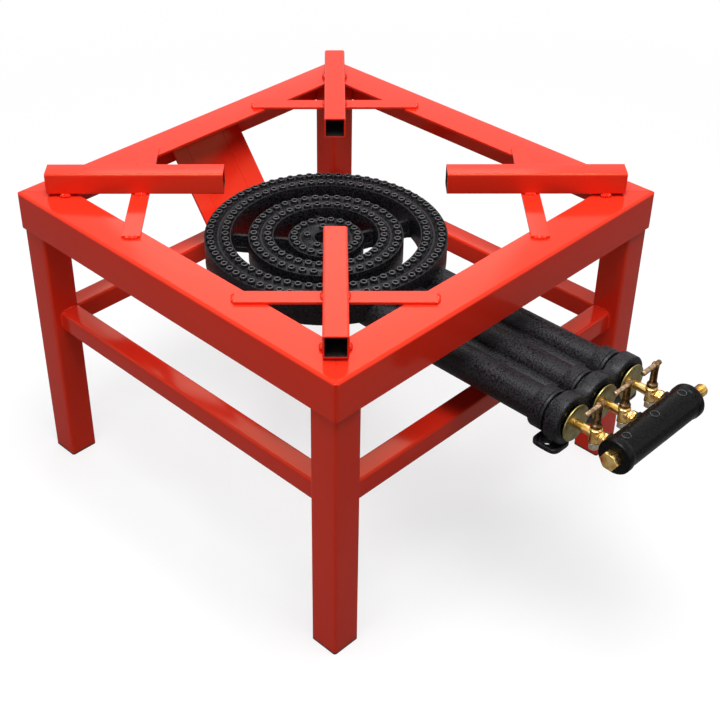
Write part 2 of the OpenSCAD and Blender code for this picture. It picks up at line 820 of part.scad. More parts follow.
// Plug, stem and bar in one piece; the plug's cross hole runs along the bar
module valve_lever(x) {
    bar_z = tube_z + lever_h;
    color(BRONZE) at_stand() translate([x, -stem_reach, 0]) {
        difference() {
            taper(0);
            translate([-plug_top_d, 0, tube_z]) rotate([0, 90, 0])
                cylinder(2 * plug_top_d, d = gas_d);
        }
        translate([0, 0, nut_bottom - thread_out])
            cylinder(barrel_bottom - nut_bottom + thread_out + CUT, d = plug_thread_d);
        translate([0, 0, barrel_top]) rotate_extrude() polygon([
            [0, -CUT], [plug_neck_d / 2, -CUT], [plug_neck_d / 2, flat_gap],
            [stem_foot_d / 2, flat_gap], [stem_foot_d / 2, stem_foot_h], [stem_d / 2, stem_cone_h],
            [stem_d / 2, bar_z - barrel_top], [0, bar_z - barrel_top]
        ]);
        translate([-lever_long, 0, bar_z]) rotate([0, 90, 0]) rotate_extrude() polygon([
            [0, 0], [lever_d / 2 - bar_chamfer, 0], [lever_d / 2, bar_chamfer],
            [lever_d / 2, bar_l - bar_chamfer], [lever_d / 2 - bar_chamfer, bar_l], [0, bar_l]
        ]);
    }
}

module plug_washer(x) {
    color(NICKEL) at_stand()
        translate([x, -stem_reach, washer_bottom]) difference() {
            cylinder(washer_t, d = washer_d);
            translate([0, 0, -CUT]) cylinder(washer_t + 2 * CUT, d = plug_thread_d + 2 * run_gap);
        }
}

module plug_nut(x) {
    color(NICKEL) at_stand()
        translate([x, -stem_reach, nut_bottom]) difference() {
            hex_prism(nut_af, nut_t);
            translate([0, 0, -CUT]) cylinder(nut_t + 2 * CUT, d = plug_thread_d + 2 * run_gap);
        }
}

// Manifold

module along_manifold(x) {
    translate([x, -manifold_reach, tube_z]) rotate([0, 90, 0]) children();
}

module gas_manifold() {
    end_round = 1.5;
    color(CAST_BLACK) at_stand() difference() {
        union() {
            along_manifold(-manifold_l / 2) cylinder(manifold_l, d = manifold_d);
            for (side = [0, 1]) mirror([side, 0, 0]) along_manifold(-manifold_l / 2)
                rotate_extrude() polygon([
                    [0, 0], [manifold_collar_d / 2 - end_round, 0],
                    [manifold_collar_d / 2, end_round],
                    [manifold_collar_d / 2, manifold_collar_w - end_round],
                    [manifold_d / 2 - 0.5, manifold_collar_w + end_round],
                    [0, manifold_collar_w + end_round]
                ]);
            for (i = COPIES) forward_from(pad_reach, i * tube_pitch) cylinder(SEAT, d = pad_d);
        }
        along_manifold(-manifold_l / 2 - CUT) cylinder(manifold_l + 2 * CUT, d = manifold_bore);
        for (i = COPIES) forward_from(pad_reach - CUT, i * tube_pitch)
            cylinder(SEAT + CUT, d = spigot_d + 2 * run_gap);
    }
}

module manifold_plug() {
    color(BRASS) at_stand() along_manifold(-manifold_l / 2 - plug_head_t) {
        hex_prism(plug_af, plug_head_t);
        cylinder(plug_head_t + SEAT, d = manifold_bore - 2 * run_gap);
    }
}

module gas_inlet() {
    color(BRASS) at_stand() along_manifold(manifold_l / 2 - SEAT) difference() {
        union() {
            cylinder(SEAT, d = manifold_bore - 2 * run_gap);
            cylinder(SEAT + inlet_l - 1, d = inlet_d);
            translate([0, 0, SEAT + inlet_l - 1]) cylinder(1, d1 = inlet_d, d2 = inlet_d - 2);
        }
        translate([0, 0, -CUT]) cylinder(SEAT + inlet_l + 2 * CUT, d = inlet_bore);
    }
}

top_rail(0);  // top_rail_front
top_rail(1);  // top_rail_right
top_rail(2);  // top_rail_back
top_rail(3);  // top_rail_left
leg(0);  // leg_front_left
leg(1);  // leg_front_right
leg(2);  // leg_back_right
leg(3);  // leg_back_left
foot_cap(0);  // foot_cap_front_left
foot_cap(1);  // foot_cap_front_right
foot_cap(2);  // foot_cap_back_right
foot_cap(3);  // foot_cap_back_left
lower_rail(0);  // lower_rail_front
lower_rail(1);  // lower_rail_right
lower_rail(2);  // lower_rail_back
lower_rail(3);  // lower_rail_left
pan_support(0);  // pan_support_back_right
pan_support(1);  // pan_support_back_left
pan_support(2);  // pan_support_front_left
pan_support(3);  // pan_support_front_right
corner_strap(0);  // corner_strap_back_right
corner_strap(1);  // corner_strap_back_left
corner_strap(2);  // corner_strap_front_left
corner_strap(3);  // corner_strap_front_right
burner_carrier();
carrier_bolts();
carrier_washers();
burner_casting();
flame_nozzles(OUTER);  // outer_flame_nozzles
flame_nozzles(MIDDLE);  // middle_flame_nozzles
flame_nozzles(INNER);  // inner_flame_nozzles
air_shutter(-tube_pitch);  // air_shutter_left
air_shutter(0);  // air_shutter_centre
air_shutter(tube_pitch);  // air_shutter_right
gas_jet(-tube_pitch);  // gas_jet_left
gas_jet(0);  // gas_jet_centre
gas_jet(tube_pitch);  // gas_jet_right
valve_body(-tube_pitch);  // valve_body_left
valve_body(0);  // valve_body_centre
valve_body(tube_pitch);  // valve_body_right
valve_lever(-tube_pitch);  // valve_lever_left
valve_lever(0);  // valve_lever_centre
valve_lever(tube_pitch);  // valve_lever_right
plug_washer(-tube_pitch);  // plug_washer_left
plug_washer(0);  // plug_washer_centre
plug_washer(tube_pitch);  // plug_washer_right
plug_nut(-tube_pitch);  // plug_nut_left
plug_nut(0);  // plug_nut_centre
plug_nut(tube_pitch);  // plug_nut_right
gas_manifold();
manifold_plug();
gas_inlet();
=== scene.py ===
import math

import bmesh
import bpy
from mathutils import Matrix, Vector


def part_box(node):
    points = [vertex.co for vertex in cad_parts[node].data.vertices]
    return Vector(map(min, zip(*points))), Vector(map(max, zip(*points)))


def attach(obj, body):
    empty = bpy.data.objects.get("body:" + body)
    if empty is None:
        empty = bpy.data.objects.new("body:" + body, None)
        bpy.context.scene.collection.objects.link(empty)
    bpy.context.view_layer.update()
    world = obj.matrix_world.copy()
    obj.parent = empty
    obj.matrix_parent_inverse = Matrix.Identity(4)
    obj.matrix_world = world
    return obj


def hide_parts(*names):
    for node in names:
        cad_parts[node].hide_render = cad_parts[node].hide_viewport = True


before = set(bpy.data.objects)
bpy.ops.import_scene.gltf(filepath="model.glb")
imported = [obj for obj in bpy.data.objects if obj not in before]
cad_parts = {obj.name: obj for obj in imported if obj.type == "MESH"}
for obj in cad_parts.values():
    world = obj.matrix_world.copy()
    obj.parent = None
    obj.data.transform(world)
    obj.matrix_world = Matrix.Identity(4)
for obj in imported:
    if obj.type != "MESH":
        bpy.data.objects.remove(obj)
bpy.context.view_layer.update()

# Top ring: four lengths of angle iron with mitred corners, welded, ground and powder
# coated a glossy red. The coating has a fine orange peel and pulls thin over the edges.
MM = 0.001
paint_red = (0.80, 0.029, 0.012, 1.0)
paint_red_deep = (0.77, 0.025, 0.010, 1.0)
paint_shine = (1.0, 0.90, 0.45, 1.0)
ring_edge = 0.7


def new_finish(name, roughness, metallic=0.0):
    """A material and its main shader."""
    material = bpy.data.materials.new(name)
    material.use_nodes = True
    surface = material.node_tree.nodes["Principled BSDF"]
    surface.inputs["Roughness"].default_value = roughness
    surface.inputs["Metallic"].default_value = metallic
    return material, surface


def cloud(tree, grain_mm, detail):
    """Cloudy noise with lumps of about that size in millimetres."""
    place = tree.nodes.new("ShaderNodeTexCoord")
    noise = tree.nodes.new("ShaderNodeTexNoise")
    noise.inputs["Scale"].default_value = 1.0 / (grain_mm * MM)
    noise.inputs["Detail"].default_value = detail
    tree.links.new(place.outputs["Object"], noise.inputs["Vector"])
    return noise.outputs[0]


def tint(surface, dark, light, grain_mm, detail=3.0, low=0.35, high=0.65):
    """Clouds a surface's colour; the noise runs from dark at low to light at high."""
    tree = surface.id_data
    noise = cloud(tree, grain_mm, detail)
    ramp = tree.nodes.new("ShaderNodeValToRGB")
    first, last = ramp.color_ramp.elements
    first.position, first.color = low, dark
    last.position, last.color = high, light
    tree.links.new(noise, ramp.inputs[0])
    tree.links.new(ramp.outputs[0], surface.inputs["Base Color"])


def dull(surface, least, most, grain_mm, detail=3.0, low=0.3, high=0.7):
    """Clouds a surface's roughness; the noise runs from least at low to most at high."""
    tree = surface.id_data
    noise = cloud(tree, grain_mm, detail)
    span = tree.nodes.new("ShaderNodeMapRange")
    span.inputs["From Min"].default_value = low
    span.inputs["From Max"].default_value = high
    span.inputs["To Min"].default_value = least
    span.inputs["To Max"].default_value = most
    tree.links.new(noise, span.inputs["Value"])
    tree.links.new(span.outputs[0], surface.inputs["Roughness"])


def emboss(surface, depth_mm, strength, grain_mm, detail=3.0):
    """Raises cloudy relief of that depth, on top of any that the surface already has."""
    tree = surface.id_data
    normal = surface.inputs["Normal"]
    noise = cloud(tree, grain_mm, detail)
    bump = tree.nodes.new("ShaderNodeBump")
    bump.inputs["Strength"].default_value = strength
    bump.inputs["Distance"].default_value = depth_mm * MM
    tree.links.new(noise, bump.inputs["Height"])
    if normal.is_linked:
        tree.links.new(normal.links[0].from_socket, bump.inputs["Normal"])
    tree.links.new(bump.outputs[0], normal)


def dress(node, material, edge_mm, corner_deg=32.0, merge=0.00001):
    """Shows a CAD node in a finish, with its sharp edges broken by that much."""
    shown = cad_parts[node]
    shown.data.materials.clear()
    shown.data.materials.append(material)
    if "custom_normal" in shown.data.attributes:
        shown.data.attributes.remove(shown.data.attributes["custom_normal"])
    shown.data.shade_smooth()
    joined = shown.modifiers.new("joined_points", "WELD")
    joined.merge_threshold = merge
    bevel = shown.modifiers.new("broken_edges", "BEVEL")
    bevel.width = edge_mm * MM
    bevel.segments = 2
    bevel.limit_method = "ANGLE"
    bevel.angle_limit = math.radians(corner_deg)
    bevel.harden_normals = True


red_paint, surface = new_finish("red_powder_coat", roughness=0.3)
surface.inputs["IOR"].default_value = 1.32
surface.inputs["Specular IOR Level"].default_value = 0.5
surface.inputs["Specular Tint"].default_value = paint_shine
tint(surface, paint_red_deep, paint_red, grain_mm=90.0, detail=2.0, low=0.1, high=0.9)
dull(surface, 0.09, 0.19, grain_mm=12.0, low=0.0, high=1.0)
emboss(surface, depth_mm=0.03, strength=0.2, grain_mm=3.2, detail=1.0)
for side in ("front", "right", "back", "left"):
    dress(f"top_rail_{side}", red_paint, ring_edge)

# Legs: square tube, cut square, its top end hidden inside the ring's angle iron. The black
# end caps are moulded plastic and are pushed into the tube from below.
CORNERS = ("front_left", "front_right", "back_right", "back_left")
cap_black = (0.012, 0.012, 0.013, 1.0)
cap_worn = (0.030, 0.030, 0.031, 1.0)
leg_edge = 0.3
cap_edge = 0.4
black_cap, surface = new_finish("black_end_cap", roughness=0.5)
tint(surface, cap_black, cap_worn, grain_mm=9.0)
emboss(surface, depth_mm=0.08, strength=0.4, grain_mm=0.8)
for corner in CORNERS:
    dress(f"leg_{corner}", red_paint, leg_edge)
    dress(f"foot_cap_{corner}", black_cap, cap_edge)

# Lower rails: smaller square tube between the legs, butted and welded to them, and painted
# with the whole stand.
rail_edge = 0.3
for side in ("front", "right", "back", "left"):
    dress(f"lower_rail_{side}", red_paint, rail_edge)

# Corner straps: flat bar laid across each corner of the ring, cut square and welded on.
# Pan supports: square tube on the straps, along the diagonals. Their ends are open, and the paint
# hasn't reached the bare steel inside, which is coloured near black as painted shade for the inside
# of the tube.
strap_edge = 0.4
support_edge = 0.3
support_wall = 2.0
# Near-black colours for the bare steel inside the supports, darkened as painted shade inside the
# tubes
bare_shaded_dark = (0.012, 0.010, 0.010, 1.0)
bare_shaded_rusty = (0.035, 0.024, 0.020, 1.0)
# The middle of the square stand, seen from above; every size below is measured from it
stand_y = (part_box("leg_front_left")[0].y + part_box("leg_back_left")[1].y) / 2


def span(node, axis):
    """Where a CAD node starts and ends along "x", "y" or "z", in millimetres."""
    shift = stand_y if axis == "y" else 0.0
    return [round((getattr(corner, axis) - shift) / MM, 2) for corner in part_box(node)]


bare_shaded_steel, surface = new_finish("bare_tube_inside_painted_shade", roughness=0.6, metallic=0.6)
tint(surface, bare_shaded_dark, bare_shaded_rusty, grain_mm=4.0)
emboss(surface, depth_mm=0.1, strength=0.4, grain_mm=1.5)
support_low, support_high = span("pan_support_front_left", "z")
support_z = (support_low + support_high) / 2
support_half = (support_high - support_low) / 2
inside = (support_half - support_wall / 2) * MM
for corner in CORNERS:
    dress(f"corner_strap_{corner}", red_paint, strap_edge)
    dress(f"pan_support_{corner}", red_paint, support_edge)
    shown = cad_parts[f"pan_support_{corner}"]
    shown.data.materials.append(bare_shaded_steel)
    diagonal = Vector((-1.0 if "left" in corner else 1.0,
                       -1.0 if "front" in corner else 1.0)).normalized()
    # Faces inside the tube, but not its open ends, get the near-black steel as painted shade
    for face in shown.data.polygons:
        across = face.center.x * diagonal.y - (face.center.y - stand_y) * diagonal.x
        up = face.center.z - support_z * MM
        is_end = abs(face.normal.x * diagonal.x + face.normal.y * diagonal.y) > 0.5
        if max(abs(across), abs(up)) < inside and not is_end:
            face.material_index = 1

# Carrier strip: 3 mm sheet bent from the back of the ring down under the burner, painted
# with the stand. Plated hexagon bolts with washers hold the casting on it from below.
carrier_edge = 0.4
bolt_edge = 0.4
washer_edge = 0.2
zinc_grey = (0.50, 0.51, 0.52, 1.0)
zinc_pale = (0.66, 0.66, 0.65, 1.0)
dress("burner_carrier", red_paint, carrier_edge)
zinc_steel, surface = new_finish("zinc_plate", roughness=0.32, metallic=1.0)
tint(surface, zinc_grey, zinc_pale, grain_mm=3.0)
emboss(surface, depth_mm=0.05, strength=0.3, grain_mm=0.7)
dress("carrier_bolts", zinc_steel, bolt_edge)
dress("carrier_washers", zinc_steel, washer_edge)

# Weld beads: short runs of stick or wire weld under the paint, where the supports cross
# the ring and the straps, at the straps' ends, and where rails and carrier are joined on.
STAND = "burner_and_stand"
bead_sides = 14
bead_step = 0.7
# Waves along a bead's surface: height as a share of its radius, turn per millimetre, start
BEAD_RIPPLES = ((0.16, 2.2, 0.0), (0.08, 5.1, 1.3))


def add_loft(bm, loops, start_cap=True, end_cap=True):
    """Skins loops of equally many points, one after the other."""
    rows = [[bm.verts.new(p) for p in loop] for loop in loops]
    for low, high in zip(rows, rows[1:]):
        for i in range(len(low)):
            j = (i + 1) % len(low)
            bm.faces.new((low[i], low[j], high[j], high[i]))
    if start_cap:
        bm.faces.new(list(reversed(rows[0])))
    if end_cap:
        bm.faces.new(rows[-1])


def make_piece(name, bm, material, body, stands_for=(), sharp_deg=38.0):
    """Turns millimetres from the stand's middle into an object that rides on a body."""
    bmesh.ops.remove_doubles(bm, verts=bm.verts, dist=0.0005)
    bmesh.ops.recalc_face_normals(bm, faces=bm.faces)
    bm.transform(Matrix.Translation((0.0, stand_y, 0.0)) @ Matrix.Scale(MM, 4))
    mesh = bpy.data.meshes.new(name)
    bm.to_mesh(mesh)
    bm.free()
    mesh.materials.append(material)
    mesh.shade_smooth()
    mesh.set_sharp_from_angle(angle=math.radians(sharp_deg))
    made = bpy.data.objects.new(name, mesh)
    bpy.context.scene.collection.objects.link(made)
    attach(made, body)
    if stands_for:
        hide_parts(*stands_for)
    return made


def add_bead(bm, start, end, radius):
    """A rippled run of weld from one point to another, half sunk in what it joins."""
    start, end = Vector(start), Vector(end)
    along = end - start
    turn = along.to_track_quat("Z", "Y").to_matrix()
    steps = max(8, int(along.length / bead_step))
    loops = []
    for k in range(steps + 1):
        t = k / steps
        rounded = math.sqrt(max(0.02, 1.0 - (2.0 * t - 1.0) ** 4))
        ripple = 1.0 + sum(height * math.sin(along.length * t * rate + phase)
                           for height, rate, phase in BEAD_RIPPLES)
        r = radius * rounded * ripple
        loops.append([start + along * t + turn @ Vector((r * math.cos(a), r * math.sin(a), 0.0))
                      for a in (math.tau * i / bead_sides for i in range(bead_sides))])
    add_loft(bm, loops)


def corner_point(turn_deg, along, across, z):
    """A point from its reach along a corner's diagonal and its place across it."""
    a = math.radians(turn_deg)
    return (along * math.cos(a) - across * math.sin(a),
            along * math.sin(a) + across * math.cos(a), z)


strap_reach = 214.0
strap_half = 100.3
support_weld_reach = 290.0
strap_under, strap_top = span("corner_strap_front_left", "z")
# Along the diagonal from and to, across it, height, radius: support on the ring, support on
# the strap, and the strap's end
CORNER_BEADS = (
    (support_weld_reach, support_weld_reach + 12, support_half, strap_under + 1.6, 2.9),
    (strap_reach - 7, strap_reach + 6, support_half + 0.3, strap_top + 0.5, 2.1),
    (strap_reach - 7, strap_reach + 7, strap_half, strap_under + 1.0, 2.3))
beads = bmesh.new()
for turn_deg in (45, 135, 225, 315):
    for s in (-1, 1):
        for start, end, across, z, r in CORNER_BEADS:
            add_bead(beads, corner_point(turn_deg, start, s * across, z),
                     corner_point(turn_deg, end, s * across, z), r)
rail_bead_r = 1.5
leg_face = span("lower_rail_front", "x")[1]
rail_face = -span("lower_rail_front", "y")[0]
rail_under, rail_top = span("lower_rail_front", "z")
for turn_deg in (0, 90, 180, 270):
    turn = Matrix.Rotation(math.radians(turn_deg), 4, "Z")
    for x in (-leg_face, leg_face):
        for start, end in (((x, -rail_face, rail_under + 2), (x, -rail_face, rail_top - 2)),
                           ((x, -rail_face + 3, rail_top), (x, -leg_face - 3, rail_top))):
            add_bead(beads, turn @ Vector(start), turn @ Vector(end), rail_bead_r)
carrier_bead_r = 1.9
carrier_bead_half = 9.0
carrier_left, carrier_right = span("burner_carrier", "x")
y = span("burner_carrier", "y")[1] - 0.8
z = span("burner_carrier", "z")[1] + 0.2
for x in (carrier_left + 8.0, (carrier_left + carrier_right) / 2, carrier_right - 8.0):
    add_bead(beads, (x - carrier_bead_half, y, z), (x + carrier_bead_half, y, z), carrier_bead_r)
make_piece("weld_beads", beads, red_paint, STAND)

# Burner rings: three hollow rings, the main part of one sand casting in grey iron, painted
# black. Each has a lip along both edges and a low ridge between its two rows of nozzles.
iron_dark = (0.0012, 0.0012, 0.0015, 1.0)
iron_light = (0.017, 0.0165, 0.020, 1.0)
rings_under = 267.0
rings_back = sum(span("outer_flame_nozzles", "y")) / 2
ring_foot = 3.0
# Outer radius, inner radius, deck height, then the two nozzle rows as (radius, count)
RINGS = {
    "outer": (138.0, 107.6, 300.5, ((131.4, 70), (114.2, 60))),
    "middle": (88.5, 59.5, 297.8, ((81.9, 40), (66.1, 35))),
    "inner": (43.0, 13.0, 294.0, ((36.4, 20), (21.5, 5))),
}
# Sections of the lip, from the ring's wall inwards, and of half the ridge, from its foot to
# its middle, as (distance, height above the deck)
LIP = ((0.0, 0.7), (0.25, 1.3), (0.8, 1.5), (1.4, 1.4), (2.0, 0.9), (2.3, 0.3), (2.9, 0.0))
RIDGE = ((3.0, 0.0), (2.2, 0.55), (1.2, 1.2), (0.0, 1.5))


def add_turned(bm, profile, place, segments=96, closed=False):
    """Revolves (radius, height) points about the place's own Z."""
    rows = []
    for r, h in profile:
        count = segments if r > 0.0001 else 1
        rows.append([bm.verts.new(place @ Vector((r * math.cos(math.tau * i / segments),
                                                  r * math.sin(math.tau * i / segments), h)))
                     for i in range(count)])
    pairs = list(zip(rows, rows[1:]))
    if closed:
        pairs.append((rows[-1], rows[0]))
    for low, high in pairs:
        if len(low) == 1 and len(high) == 1:
            continue
        for i in range(segments):
            j = (i + 1) % segments
            if len(low) == 1:
                bm.faces.new((low[0], high[j], high[i]))
            elif len(high) == 1:
                bm.faces.new((low[i], low[j], high[0]))
            else:
                bm.faces.new((low[i], low[j], high[j], high[i]))


def upright(x, y, z=0.0):
    """A place on the ground plan, where a height is a height."""
    return Matrix.Translation((x, y, z))


def forward(x, z):
    """A place where heights run towards the operator, as reaches from the stand's middle."""
    return Matrix.Translation((x, 0.0, z)) @ Matrix.Rotation(math.radians(90), 4, "X")


def above_deck(section, edge, way, deck):
    """A section's points, laid off from an edge outwards (1) or inwards (-1)."""
    return [(edge + way * off, deck + up) for off, up in section]


cast_iron, surface = new_finish("black_cast_iron", roughness=0.5)
surface.inputs["Specular IOR Level"].default_value = 0.18
tint(surface, iron_dark, iron_light, grain_mm=2.0, detail=5.0, low=0.38, high=0.66)
dull(surface, 0.24, 0.50, grain_mm=2.0, detail=4.0, low=0.4, high=0.6)
emboss(surface, depth_mm=0.8, strength=0.12, grain_mm=6.0, detail=2.0)
emboss(surface, depth_mm=0.8, strength=0.6, grain_mm=2.1, detail=4.0)
burner = bmesh.new()
rings_place = upright(0.0, rings_back)
for outer_r, inner_r, deck, rows in RINGS.values():
    middle = (rows[0][0] + rows[1][0]) / 2
    profile = [(inner_r + ring_foot, rings_under), (outer_r - ring_foot, rings_under),
               (outer_r - 0.9, rings_under + 0.9), (outer_r, rings_under + ring_foot)]
    profile += above_deck(LIP, outer_r, -1, deck)
    profile += above_deck(RIDGE, middle, 1, deck)
    profile += above_deck(RIDGE[-2::-1], middle, -1, deck)
    profile += above_deck(LIP[::-1], inner_r, 1, deck)
    profile += [(inner_r, rings_under + ring_foot), (inner_r + 0.9, rings_under + 0.9)]
    add_turned(burner, profile, rings_place, segments=192, closed=True)

# Webs: four flat arms that join each ring to the next, part of the same casting. They
# flare where they run into the rings, and their tops are rounded off.
web_half = 3.5
web_top = 289.5
web_shoulder = 274.0
web_turns = (-18, 54, 126, 198)
# How far from each end, and how much wider than the web is
WEB_FLARE = ((0.0, 2.2), (2.4, 1.2), (3.4, 0.4), (5.0, 0.0))
# Height, and how much narrower the web is there
WEB_LEVELS = ((rings_under, 0.8), (rings_under + 1.5, 0.0), (web_shoulder, 0.0),
              (web_shoulder + 0.6, 0.6), (web_top - 1.4, 0.6), (web_top - 0.3, 1.2), (web_top, 2.2))
for inside, outside in (("middle", "outer"), ("inner", "middle")):
    start, end = RINGS[inside][0] - 2.0, RINGS[outside][1] + 2.0
    for turn_deg in web_turns:
        turn = rings_place @ Matrix.Rotation(math.radians(turn_deg), 4, "Z")
        loops = []
        for z, narrower in WEB_LEVELS:
            half = web_half - narrower
            edge = [(start + off, half + wider) for off, wider in WEB_FLARE]
            edge += [(end - off, half + wider) for off, wider in reversed(WEB_FLARE)]
            outline = [(x, -y) for x, y in edge] + [(x, y) for x, y in reversed(edge)]
            loops.append([turn @ Vector((x, y, z)) for x, y in outline])
        add_loft(burner, loops)

# Mixing tubes: three tubes of the same casting that bring gas and air to the rings. Each
# has a collar and ends in a bell mouth; two go on under the rings as narrower ducts.
tube_z = sum(span("air_shutter_centre", "z")) / 2
tube_pitch = sum(span("air_shutter_right", "x")) / 2
tube_r = 18.0
duct_z = 268.1
duct_r = 14.0
collar_start = 331.5
collar_r = 22.5
bell_start = 353.5
bell_r = 26.25
bell_round = 2.5
mouth_reach = 369.5
throat_r = 13.5
throat_end = 210.0
# Sideways place, where the full tube starts, and where its narrow duct starts
TUBES = ((-tube_pitch, 86.0, 38.0), (0.0, 96.0, 12.0), (tube_pitch, 92.0, None))
bell = [(bell_r - 1.4, bell_start), (bell_r - 0.3, bell_start + 0.6), (bell_r, bell_start + 1.6)]
bell += [(bell_r - bell_round + bell_round * math.cos(math.radians(a)),
          mouth_reach - bell_round + bell_round * math.sin(math.radians(a)))
         for a in range(0, 91, 15)]
bell += [(18.9, mouth_reach), (17.9, mouth_reach - 0.5), (17.2, mouth_reach - 1.6),
         (15.6, 352.0), (14.2, 341.0), (throat_r, 334.5), (throat_r, throat_end), (0.0, throat_end)]
for x, tube_start, duct_start in TUBES:
    profile = [(0.0, tube_start), (duct_r + 0.5, tube_start), (tube_r, tube_start + 4),
               (tube_r, collar_start - 1.2), (tube_r + 0.8, collar_start - 0.3),
               (collar_r - 1.6, collar_start), (collar_r - 0.4, collar_start + 0.5),
               (collar_r, collar_start + 1.6), (collar_r, bell_start - 9.0),
               (collar_r - 0.7, bell_start - 8.5), (collar_r, bell_start - 8.0),
               (collar_r, bell_start - 5.6), (collar_r - 0.4, bell_start - 5.0),
               (collar_r - 1.2, bell_start - 4.8), (collar_r - 3.2, bell_start - 4.7),
               (collar_r - 3.2, bell_start - 0.2)]
    add_turned(burner, profile + bell, forward(x, tube_z), segments=80)
    if duct_start is not None:
        add_turned(burner, [(0.0, duct_start), (duct_r - 1, duct_start), (duct_r, duct_start + 1.5),
                            (duct_r, tube_start + 6), (0.0, tube_start + 6)],
                   forward(x, duct_z), segments=64)

# Ribs and saddles: flat ribs join the tubes side by side, and a filled saddle joins each
# bell to the next. Inside each bell a bridge carries the hub that holds the valve's nose.
rib_low, rib_high = 272.5, 279.5
rib_half = 8.0
rib_start = 95.0
rib_edge = 1.2
saddle_half = 9.5
saddle_z = 290.6
saddle_rise = 3.4
saddle_under = 255.0
saddle_places = (9.5, 6.5, 4.0, 2.0, 0.0, -2.0, -4.0, -6.5, -9.5)
# Reach, and how much lower the saddle's top is there
SADDLE_ENDS = ((bell_start, 1.4), (bell_start + 0.6, 0.3), (bell_start + 1.6, 0.0),
               (mouth_reach - 2.6, 0.0), (mouth_reach - 1.2, 0.7), (mouth_reach - 0.4, 1.8))
hub_r = 7.8
bridge_back, bridge_front = 354.0, 362.0
bridge_half, bridge_half_h = 17.0, 4.5
bridge_edge = 0.9


def add_block(bm, low, high, edge):
    """A box with its upright edges and its top and bottom edges broken."""
    loops = []
    for z, inset in ((low[2], edge), (low[2] + edge, 0.0), (high[2] - edge, 0.0), (high[2], edge)):
        x0, y0, x1, y1 = low[0] + inset, low[1] + inset, high[0] - inset, high[1] - inset
        loops.append([(x0 + edge, y0, z), (x1 - edge, y0, z), (x1, y0 + edge, z),
                      (x1, y1 - edge, z), (x1 - edge, y1, z), (x0 + edge, y1, z),
                      (x0, y1 - edge, z), (x0, y0 + edge, z)])
    add_loft(bm, loops)


for s in (-1, 1):
    middle = s * tube_pitch / 2
    add_block(burner, (middle - rib_half, -collar_start - 1, rib_low),
              (middle + rib_half, -rib_start, rib_high), rib_edge)
    loops = []
    for y, lower in SADDLE_ENDS:
        loop = [(middle + x, -y, saddle_z + saddle_rise * (x / saddle_half) ** 2 - lower)
                for x in saddle_places]
        loop += [(middle - saddle_half, -y, saddle_under), (middle + saddle_half, -y, saddle_under)]
        loops.append(loop)
    add_loft(burner, loops)
for x in (-tube_pitch, 0.0, tube_pitch):
    hub = [(0.0, bridge_back), (hub_r - 0.8, bridge_back), (hub_r, bridge_back + 0.8),
           (hub_r, bridge_front - 0.8), (hub_r - 0.8, bridge_front), (0.0, bridge_front)]
    add_turned(burner, hub, forward(x, tube_z), segments=48)
    add_block(burner, (x - bridge_half, -bridge_front, tube_z - bridge_half_h),
              (x + bridge_half, -bridge_back, tube_z + bridge_half_h), bridge_edge)

# Foot lugs and bosses: two lugs with a bolt hole stick out under the outer bells, and three
# bosses under the rings stand on the carrier strip. Both belong to the same casting.
lug_under, lug_top = span("burner_casting", "z")[0], 247.25
lug_reach = 355.0
lug_x, lug_hole_x = 56.5, 62.5
lug_half = (14.0, 15.5)
lug_hole_r = 4.0
boss_r = 9.0
boss_low = span("burner_carrier", "z")[0] + 3.0
boss_places = ((-9.5, 136.9), (50.5, 126.4), (20.5, 85.6))


def add_lug(bm, centre, half, hole, hole_r, z_low, z_high, edge=1.0, count=56):
    """A flat lug with well rounded corners and one hole."""
    def rim(inset):
        points = []
        for i in range(count):
            c, s = math.cos(math.tau * i / count), math.sin(math.tau * i / count)
            points.append((centre[0] + math.copysign(abs(c) ** 0.5, c) * (half[0] - inset),
                           centre[1] + math.copysign(abs(s) ** 0.5, s) * (half[1] - inset)))
        return points

    def bore(r):
        return [(hole[0] + r * math.cos(math.tau * i / count),
                 hole[1] + r * math.sin(math.tau * i / count)) for i in range(count)]
    levels = [(bore(hole_r), z_low + 0.4), (bore(hole_r + 0.4), z_low), (rim(edge), z_low),
              (rim(0.0), z_low + edge), (rim(0.0), z_high - edge), (rim(edge), z_high),
              (bore(hole_r + 0.4), z_high), (bore(hole_r), z_high - 0.4),
              (bore(hole_r), z_low + 0.4)]
    add_loft(bm, [[(x, y, z) for x, y in loop] for loop, z in levels], False, False)


for s in (-1, 1):
    add_lug(burner, (s * lug_x, -lug_reach), lug_half, (s * lug_hole_x, -lug_reach), lug_hole_r,
            lug_under, lug_top)
for x, y in boss_places:
    add_turned(burner, [(0.0, boss_low), (boss_r - 0.6, boss_low), (boss_r, boss_low + 0.6),
                        (boss_r + 0.2, rings_under - 2), (boss_r + 2.0, rings_under + 0.5),
                        (0.0, rings_under + 0.5)],
               upright(x, y), segments=40)
make_piece("burner_iron", burner, cast_iron, STAND, ["burner_casting"])

# Flame nozzles: small collars in two rows on each ring, black as the iron, with the flame hole in
# the middle. Their rims are coloured lighter grey, partly where pans and the flame have rubbed the
# black thin and partly as painted sheen where the light catches the tops.
rim_dark = (0.014, 0.014, 0.015, 1.0)
rim_worn_sheen_grey = (0.050, 0.050, 0.052, 1.0)
nozzle_rim_low = 3.9
